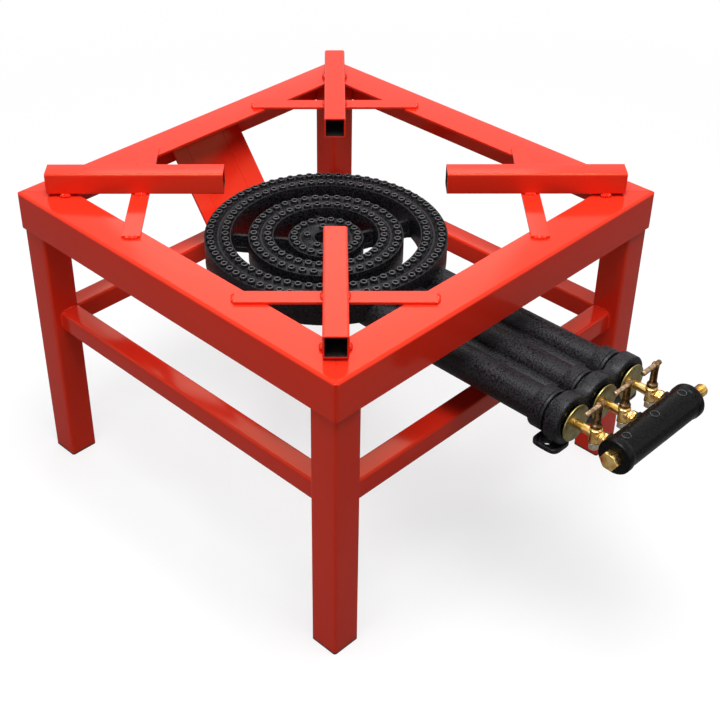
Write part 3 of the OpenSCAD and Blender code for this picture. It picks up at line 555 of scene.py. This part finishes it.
# Radius, and height above the deck: foot fillet, collar, rounded rim, flame hole
NOZZLE = ((5.1, -0.2), (4.55, 0.25), (4.27, 0.8), (4.2, 3.6), (4.08, nozzle_rim_low), (3.8, 4.3),
          (3.3, 4.46), (2.75, 4.4), (2.4, 4.1), (2.2, 3.6), (2.1, -1.5), (0.0, -1.5))
# Lighter grey rim finish: partly rubbed wear, partly painted sheen on the nozzle tops
rubbed_sheen_rim, surface = new_finish("rubbed_sheen_nozzle_rim", roughness=0.4)
surface.inputs["Specular IOR Level"].default_value = 0.5
tint(surface, rim_dark, rim_worn_sheen_grey, grain_mm=2.4)
dull(surface, 0.30, 0.50, grain_mm=1.2)
emboss(surface, depth_mm=0.12, strength=0.5, grain_mm=0.9)
for ring, (_, _, deck, rows) in RINGS.items():
    tips = bmesh.new()
    for r, count in rows:
        for i in range(count):
            a = math.tau * i / count - math.pi / 2
            add_turned(tips, NOZZLE, upright(r * math.cos(a), rings_back + r * math.sin(a), deck),
                       segments=20)
    shown = make_piece(f"{ring}_nozzle_rows", tips, cast_iron, STAND,
                       [f"{ring}_flame_nozzles"], sharp_deg=55.0)
    shown.data.materials.append(rubbed_sheen_rim)
    # The nozzle tops take the lighter rim finish: partly wear, partly painted sheen
    for face in shown.data.polygons:
        if face.center.z > (deck + nozzle_rim_low) * MM:
            face.material_index = 1

# Air shutters: pressed steel discs with a hub, yellow zinc plated. Each slides on the
# nose of its valve and throttles the air that the bell draws in.
yellow_dull = (0.21, 0.18, 0.065, 1.0)
yellow_bright = (0.33, 0.27, 0.11, 1.0)
TUBE_X = {"left": -tube_pitch, "centre": 0.0, "right": tube_pitch}
disc_r = 19.8
disc_hub_r = 7.5
disc_bore_r = 3.85
disc_back, disc_front, disc_hub_back = 372.5, 374.5, 369.0
shutter = [(disc_bore_r, disc_hub_back), (disc_hub_r - 0.4, disc_hub_back),
           (disc_hub_r, disc_hub_back + 0.4), (disc_hub_r, disc_back), (disc_r - 0.6, disc_back),
           (disc_r - 0.2, disc_back + 0.2), (disc_r, disc_back + 0.6), (disc_r, disc_front - 0.6),
           (disc_r - 0.2, disc_front - 0.2), (disc_r - 0.6, disc_front), (5.0, disc_front),
           (4.4, disc_front - 0.3), (disc_bore_r, disc_front - 0.3)]
yellow_zinc, surface = new_finish("yellow_zinc_plate", roughness=0.3, metallic=1.0)
tint(surface, yellow_dull, yellow_bright, grain_mm=7.0, detail=2.0)
dull(surface, 0.26, 0.40, grain_mm=2.0)
emboss(surface, depth_mm=0.04, strength=0.2, grain_mm=1.0)
for side, x in TUBE_X.items():
    disc = bmesh.new()
    add_turned(disc, shutter, forward(x, tube_z), segments=72, closed=True)
    make_piece(f"air_disc_{side}", disc, yellow_zinc, f"shutter_{side}",
               [f"air_shutter_{side}"], sharp_deg=30.0)

# Valve bodies: hot pressed brass with eight sides that widen towards the manifold. The
# round nose carries the jet, the barrel the tapered plug, and the hexagon screws in.
brass_brown = (0.66, 0.36, 0.08, 1.0)
brass_gold = (0.95, 0.68, 0.27, 1.0)
nose_r = 3.8
nose_back = span("valve_body_centre", "y")[1] * -1
shoulder_reach = 374.8
union_reach = 403.5
union_af = 13.0
pad_r = 7.1
pad_reach = 411.5
barrel_r = 5.8
barrel_low, barrel_high = span("valve_body_centre", "z")
stem_reach = -sum(span("plug_nut_centre", "y")) / 2
jet_edge = 0.2


def hexagon(af, limit, height, place, count=72):
    """One loop of a hexagon whose corners are turned down to a limit."""
    loop = []
    for i in range(count):
        a = math.tau * i / count
        flat = af / 2 / math.cos((a + math.pi / 6) % (math.pi / 3) - math.pi / 6)
        r = min(flat, limit)
        loop.append(place @ Vector((r * math.cos(a), r * math.sin(a), height)))
    return loop


def add_hexagon(bm, af, start, end, place):
    """A hexagon with the usual thirty degree chamfer on both ends."""
    flat = af / 2
    corner = flat / math.cos(math.pi / 6)
    halfway = (flat + corner) / 2
    down = (corner - flat) * 0.58
    add_loft(bm, [hexagon(af, limit, height, place) for limit, height in (
        (flat * 0.97, start), (flat, start + 0.1), (halfway, start + down / 2),
        (corner, start + down), (corner, end - down), (halfway, end - down / 2),
        (flat, end - 0.1), (flat * 0.97, end))])


def eight_sided(width, height, place, edge=0.35):
    """One loop of an eight-sided section with its corners a little rounded."""
    loop = []
    corner = width / 2 / math.cos(math.pi / 8)
    side = corner * math.sin(math.pi / 8)
    for k in range(8):
        a = math.pi / 4 * k
        for along in (-side + edge, side - edge):
            loop.append(place @ Vector((width / 2 * math.cos(a) - along * math.sin(a),
                                        width / 2 * math.sin(a) + along * math.cos(a), height)))
    return loop


brass, surface = new_finish("brass", roughness=0.18, metallic=1.0)
tint(surface, brass_brown, brass_gold, grain_mm=7.0, low=0.36, high=0.62)
dull(surface, 0.14, 0.26, grain_mm=2.5)
emboss(surface, depth_mm=0.02, strength=0.12, grain_mm=1.6, detail=2.0)
for side, x in TUBE_X.items():
    body = bmesh.new()
    ahead = forward(x, tube_z)
    nose = [(2.55, 352.0), (2.55, nose_back), (nose_r - 0.4, nose_back), (nose_r, nose_back + 0.5),
            (nose_r, shoulder_reach + 1.2), (0.0, shoulder_reach + 1.2)]
    add_turned(body, nose, ahead, segments=48)
    add_loft(body, [eight_sided(width, reach, ahead) for width, reach in (
        (7.9, shoulder_reach), (8.45, shoulder_reach + 0.4), (10.6, union_reach - 2.0),
        (10.7, union_reach - 0.6), (9.6, union_reach))])
    neck = [(0.0, union_reach - 1.0), (4.7, union_reach - 1.0), (4.7, union_reach + 1.2),
            (0.0, union_reach + 1.2)]
    add_turned(body, neck, ahead, segments=40)
    add_hexagon(body, union_af, union_reach + 0.8, pad_reach - 0.9, ahead)
    pad = [(0.0, pad_reach - 1.5), (pad_r - 0.2, pad_reach - 1.5), (pad_r, pad_reach - 1.2),
           (pad_r, pad_reach), (5.0, pad_reach), (5.0, pad_reach + 8.0), (0.0, pad_reach + 8.0)]
    add_turned(body, pad, ahead, segments=40)
    barrel = [(3.6, 268.0), (3.6, barrel_low), (barrel_r - 0.4, barrel_low),
              (barrel_r, barrel_low + 0.4), (barrel_r, 276.3), (6.2, 276.5), (6.4, 276.9),
              (6.4, 278.1), (6.2, 278.5), (barrel_r, 278.7), (barrel_r, barrel_high - 0.5),
              (barrel_r - 0.4, barrel_high), (4.35, barrel_high), (4.35, 276.0)]
    add_turned(body, barrel, upright(x, -stem_reach), segments=56)
    make_piece(f"valve_brass_{side}", body, brass, STAND,
               [f"valve_body_{side}"], sharp_deg=26.0)
    dress(f"gas_jet_{side}", brass, jet_edge)

# Valve levers: a tapered plug, its stem and a cross bar in one bronze casting, left as cast and
# darkened by handling. The stem is coloured darker still as painted shade, and the bar lighter,
# partly where hands have worn it and partly as painted light along its top-lit length. A nickel
# plated nut and washer draw the plug into its seat.
bronze_shaded_dark = (0.075, 0.038, 0.016, 1.0)
bronze_shaded_brown = (0.34, 0.20, 0.085, 1.0)
handled_lit_brown = (0.26, 0.16, 0.085, 1.0)
handled_lit_pale = (0.56, 0.40, 0.25, 1.0)
nickel_dull = (0.46, 0.43, 0.34, 1.0)
nickel_bright = (0.70, 0.66, 0.55, 1.0)
bar_z = 306.0
bar_r = 2.7
bar_long, bar_short = 22.0, 7.5
bar_length = bar_long + bar_short
stem_half = 4.2
stub_low, lever_top = span("valve_lever_centre", "z")
nut_low, nut_high = span("plug_nut_centre", "z")
nut_af = 10.0
washer_rim = 0.15
# Bronze of the stem, darkened further as painted shade
bronze, surface = new_finish("dark_shaded_bronze", roughness=0.34, metallic=1.0)
tint(surface, bronze_shaded_dark, bronze_shaded_brown, grain_mm=3.0, detail=4.0)
dull(surface, 0.24, 0.5, grain_mm=1.4)
emboss(surface, depth_mm=0.15, strength=0.5, grain_mm=1.2)
# Lighter bronze of the bar: partly hand wear, partly painted light on the top-lit bar
handled_lit_bronze, surface = new_finish("handled_lit_bronze", roughness=0.3, metallic=1.0)
tint(surface, handled_lit_brown, handled_lit_pale, grain_mm=3.0, detail=4.0)
dull(surface, 0.22, 0.42, grain_mm=1.4)
emboss(surface, depth_mm=0.12, strength=0.4, grain_mm=1.2)
nickel, surface = new_finish("nickel_plate", roughness=0.24, metallic=1.0)
tint(surface, nickel_dull, nickel_bright, grain_mm=2.5)
emboss(surface, depth_mm=0.05, strength=0.35, grain_mm=0.8)
for side, x in TUBE_X.items():
    lever = bmesh.new()
    place = upright(x, -stem_reach)
    stem = [(0.0, stub_low), (2.1, stub_low), (2.5, stub_low + 0.4), (2.5, barrel_low),
            (3.5, barrel_low), (4.3, barrel_high), (4.1, barrel_high + 0.3),
            (5.2, barrel_high + 0.3), (5.6, barrel_high + 0.8), (5.6, barrel_high + 2.6),
            (5.1, barrel_high + 3.4), (4.3, barrel_high + 4.6), (3.85, barrel_high + 6.5),
            (3.7, 292.0), (3.6, 299.0), (3.8, 302.0), (4.0, 304.5), (3.9, 306.5),
            (3.2, lever_top - 0.7), (1.9, lever_top - 0.1), (0.0, lever_top)]
    add_turned(lever, stem, place, segments=48)
    across = upright(x - bar_long, -stem_reach, bar_z) @ Matrix.Rotation(math.radians(90), 4, "Y")
    bar = [(0.0, 0.0), (bar_r - 0.7, 0.0), (bar_r - 0.2, 0.25), (bar_r, 0.8), (bar_r, 3.5),
           (bar_r - 0.2, 7.0), (bar_r - 0.15, 15.0), (bar_r, 19.0), (bar_r, bar_length - 1.4),
           (bar_r - 0.3, bar_length - 0.6), (bar_r - 1.0, bar_length - 0.1), (0.0, bar_length)]
    add_turned(lever, bar, across, segments=40)
    shown = make_piece(f"lever_bronze_{side}", lever, bronze, f"lever_{side}",
                       [f"valve_lever_{side}"], sharp_deg=40.0)
    shown.data.materials.append(handled_lit_bronze)
    # The cross bar takes the lighter bronze, partly hand wear and partly painted light; the stem
    # keeps the darker bronze, which is painted shade
    for face in shown.data.polygons:
        if abs(face.center.x - x * MM) > stem_half * MM:
            if face.center.z > (barrel_high + 4.0) * MM:
                face.material_index = 1
    nut = bmesh.new()
    add_hexagon(nut, nut_af, nut_low, nut_high, place)
    make_piece(f"plug_nut_plated_{side}", nut, nickel, f"lever_{side}",
               [f"plug_nut_{side}"], sharp_deg=26.0)
    dress(f"plug_washer_{side}", nickel, washer_rim)

# Gas manifold: a thick cast tube across the valves, with a collar at each end and a plain
# raised ring over each valve. Its black is deeper and glossier than the burner's.
manifold_darkest = (0.0004, 0.0004, 0.0005, 1.0)
manifold_dark = (0.005, 0.0048, 0.005, 1.0)
manifold_reach = 430.0
manifold_half = span("gas_manifold", "x")[1]
manifold_r = 17.4
end_bore_r = 8.0
port_r = 7.9
port_end = 418.0
# Radius and height above the tube of each ring's section, then its points around
MARK_RING = ((3.5, -0.2), (3.7, 0.6), (4.6, 0.6), (4.8, -0.2))
mark_points = 40
# Radius, and distance in from the end: bore, face, rounded edge, collar, step to the tube
MANIFOLD_END = ((end_bore_r, 8.0), (end_bore_r, 0.3), (8.3, 0.0), (16.6, 0.0), (17.8, 0.5),
                (18.4, 1.6), (18.48, 3.0), (18.48, 7.6), (18.2, 8.8), (17.6, 10.0),
                (manifold_r, 12.0))
manifold_black, surface = new_finish("black_manifold", roughness=0.35)
surface.inputs["Specular IOR Level"].default_value = 0.11
tint(surface, manifold_darkest, manifold_dark, grain_mm=2.2, detail=5.0, low=0.44, high=0.62)
dull(surface, 0.18, 0.42, grain_mm=2.0, detail=4.0, low=0.4, high=0.6)
emboss(surface, depth_mm=0.6, strength=0.5, grain_mm=2.4, detail=4.0)
manifold = bmesh.new()
quarter = Matrix.Rotation(math.radians(90), 4, "Y")
profile = [(0.0, 8.0 - manifold_half)]
profile += [(r, off - manifold_half) for r, off in MANIFOLD_END]
profile += [(r, manifold_half - off) for r, off in reversed(MANIFOLD_END)]
profile += [(0.0, manifold_half - 8.0)]
add_turned(manifold, profile, upright(0.0, -manifold_reach, tube_z) @ quarter, segments=96)
for x in TUBE_X.values():
    port = [(0.0, pad_reach), (port_r, pad_reach), (port_r + 0.6, pad_reach + 0.5),
            (port_r + 0.7, port_end), (0.0, port_end)]
    add_turned(manifold, port, forward(x, tube_z), segments=48)
    loops = []
    for r, up in MARK_RING:
        loop = []
        for i in range(mark_points):
            a = math.tau * i / mark_points
            turn = r * math.sin(a) / manifold_r
            loop.append((x + r * math.cos(a), -manifold_reach + (manifold_r + up) * math.sin(turn),
                         tube_z + (manifold_r + up) * math.cos(turn)))
        loops.append(loop)
    add_loft(manifold, loops, False, False)
shown = make_piece("manifold_iron", manifold, manifold_black, STAND,
                   ["gas_manifold"])
shown.data.materials.append(rubbed_sheen_rim)
for face in shown.data.polygons:
    ahead = face.center.y - stand_y + manifold_reach * MM
    off_valve = min(math.hypot(face.center.x - x * MM, ahead) for x in TUBE_X.values())
    if face.center.z > (tube_z + manifold_r + 0.1) * MM and off_valve < 5.0 * MM:
        face.material_index = 1

# Ends of the manifold: a brass hexagon plug on the left, and on the right the threaded
# brass inlet that the gas hose screws on to.
end_depth = 12.0
end_seat_r = 7.9
plug_af = 17.0
plug_head = 9.0
inlet_length = 25.0
inlet_bore_r = 3.0
thread_r, thread_pitch = 6.58, 1.34
thread_start, thread_end = 3.0, 22.5
plug = bmesh.new()
plug_place = upright(-manifold_half, -manifold_reach, tube_z) @ quarter.inverted()
seat = [(0.0, -end_depth), (end_seat_r, -end_depth), (end_seat_r, 0.6), (0.0, 0.6)]
add_turned(plug, seat, plug_place, segments=64)
add_hexagon(plug, plug_af, 0.02, plug_head, plug_place)
make_piece("plug_brass", plug, brass, STAND, ["manifold_plug"], sharp_deg=26.0)
inlet = bmesh.new()
profile = [(0.0, -end_depth), (end_seat_r, -end_depth), (end_seat_r, 0.2), (thread_r - 0.7, 0.2),
           (thread_r - 0.7, thread_start)]
h = thread_start
while h < thread_end:
    profile += [(thread_r, h + thread_pitch * 0.4), (thread_r, h + thread_pitch * 0.6),
                (thread_r - 0.75, h + thread_pitch)]
    h += thread_pitch
profile += [(thread_r - 1.0, inlet_length - 0.6), (thread_r - 1.6, inlet_length),
            (inlet_bore_r + 0.4, inlet_length), (inlet_bore_r, inlet_length - 0.6),
            (inlet_bore_r, 8.0), (0.0, 8.0)]
add_turned(inlet, profile, upright(manifold_half, -manifold_reach, tube_z) @ quarter, segments=64)
make_piece("inlet_brass", inlet, brass, STAND, ["gas_inlet"], sharp_deg=26.0)

# Camera: a short telephoto lens at the front left of the stand, looking down at it, turned
# and shifted as the photograph was taken.
camera = bpy.data.objects.new("camera", bpy.data.cameras.new("camera"))
bpy.context.scene.collection.objects.link(camera)
camera.location = (-0.9482, stand_y - 0.9412, 1.1078)
camera.rotation_euler = [math.radians(a) for a in (54.0, 0.372, -44.402)]
camera.data.sensor_width = 36.0
camera.data.lens = 68.88
camera.data.shift_x = 0.0645
camera.data.shift_y = -0.0072
bpy.context.scene.camera = camera
bpy.context.scene.view_settings.view_transform = "Standard"

# Room: a white sweep that the camera sees as plain white and that still takes the stand's
# shadow. It turns from matt to plain white away from the stand, so no grey horizon shows.
WHITE = (1.0, 1.0, 1.0, 1.0)
seen_white = 1.0
fill_tone = (0.93, 0.96, 1.0, 1.0)
fill_level = 0.18
sweep_reach = 8.0
sweep_drop = 0.0004
sweep_grey = 0.22
seen_in_gloss = 0.08
shadow_grey = 0.93
shadow_kept = 0.30
shadow_fades_from, shadow_gone_at = 0.5, 1.7


def seen_by(tree, *rays):
    """1 for the named kinds of ray, else 0."""
    path = tree.nodes.new("ShaderNodeLightPath")
    total = path.outputs[rays[0]]
    for ray in rays[1:]:
        more = tree.nodes.new("ShaderNodeMath")
        more.operation = "MAXIMUM"
        tree.links.new(total, more.inputs[0])
        tree.links.new(path.outputs[ray], more.inputs[1])
        total = more.outputs[0]
    return total


def lit(tree, kind, colour, strength):
    """A plain light: an emission, or the world's background."""
    light = tree.nodes.new(kind)
    light.inputs["Color"].default_value = colour
    light.inputs["Strength"].default_value = strength
    return light.outputs[0]


def matt(tree, grey):
    """A matt grey surface."""
    shade = tree.nodes.new("ShaderNodeBsdfDiffuse")
    shade.inputs["Color"].default_value = (grey, grey, grey, 1.0)
    return shade.outputs[0]


def blend(tree, share, first, second):
    """Lays that share of the second shader over the first; share is a number or a socket."""
    both = tree.nodes.new("ShaderNodeMixShader")
    if isinstance(share, float):
        both.inputs[0].default_value = share
    else:
        tree.links.new(share, both.inputs[0])
    tree.links.new(first, both.inputs[1])
    tree.links.new(second, both.inputs[2])
    return both.outputs[0]


world = bpy.data.worlds.new("studio")
bpy.context.scene.world = world
world.use_nodes = True
tree = world.node_tree
tree.nodes.clear()
studio = blend(tree, seen_by(tree, "Is Camera Ray", "Is Glossy Ray", "Is Transmission Ray"),
               lit(tree, "ShaderNodeBackground", fill_tone, fill_level),
               lit(tree, "ShaderNodeBackground", WHITE, seen_white))
out = tree.nodes.new("ShaderNodeOutputWorld")
tree.links.new(studio, out.inputs["Surface"])

sweep = bpy.data.materials.new("white_sweep")
sweep.use_nodes = True
tree = sweep.node_tree
tree.nodes.clear()
glow = lit(tree, "ShaderNodeEmission", WHITE, seen_white)
place = tree.nodes.new("ShaderNodeTexCoord")
away = tree.nodes.new("ShaderNodeVectorMath")
away.operation = "LENGTH"
tree.links.new(place.outputs["Object"], away.inputs[0])
whiten = tree.nodes.new("ShaderNodeMapRange")
whiten.interpolation_type = "SMOOTHSTEP"
whiten.inputs["From Min"].default_value = shadow_fades_from
whiten.inputs["From Max"].default_value = shadow_gone_at
whiten.inputs["To Min"].default_value = 1.0 - shadow_kept
whiten.inputs["To Max"].default_value = 1.0
tree.links.new(away.outputs["Value"], whiten.inputs["Value"])
in_gloss = blend(tree, seen_in_gloss, matt(tree, sweep_grey), glow)
to_camera = blend(tree, whiten.outputs[0], matt(tree, shadow_grey), glow)
sweep_look = blend(tree, seen_by(tree, "Is Glossy Ray"), matt(tree, sweep_grey), in_gloss)
sweep_look = blend(tree, seen_by(tree, "Is Camera Ray", "Is Transmission Ray"),
                   sweep_look, to_camera)
out = tree.nodes.new("ShaderNodeOutputMaterial")
tree.links.new(sweep_look, out.inputs["Surface"])

floor_mesh = bpy.data.meshes.new("floor")
floor_mesh.from_pydata([(sweep_reach * x, sweep_reach * y, 0.0)
                        for x, y in ((-1, -1), (1, -1), (1, 1), (-1, 1))], [], [(0, 1, 2, 3)])
floor_mesh.materials.append(sweep)
floor = bpy.data.objects.new("floor", floor_mesh)
bpy.context.scene.collection.objects.link(floor)
floor.location.z = -sweep_drop

# Lamps: a big soft box overhead, one behind that gives the paint its sheen from above, and
# two weak ones that fill the left and the front.
lamp_aim = Vector((0.0, 0.0, 0.25))
# Name, place, width in metres, power in watts
LAMPS = (("lamp_overhead", (-0.2, -0.2, 2.4), 1.5, 74.0),
         ("lamp_behind", (1.6, 1.75, 2.5), 1.5, 11.0),
         ("lamp_left", (-2.4, -0.1, 1.0), 1.2, 6.5),
         ("lamp_front", (0.7, -2.4, 1.3), 1.0, 2.0))
for name, place, width, watts in LAMPS:
    lamp = bpy.data.objects.new(name, bpy.data.lights.new(name, "AREA"))
    bpy.context.scene.collection.objects.link(lamp)
    lamp.data.size = width
    lamp.data.energy = watts
    lamp.location = place
    lamp.rotation_euler = (lamp_aim - Vector(place)).to_track_quat("-Z", "Y").to_euler()
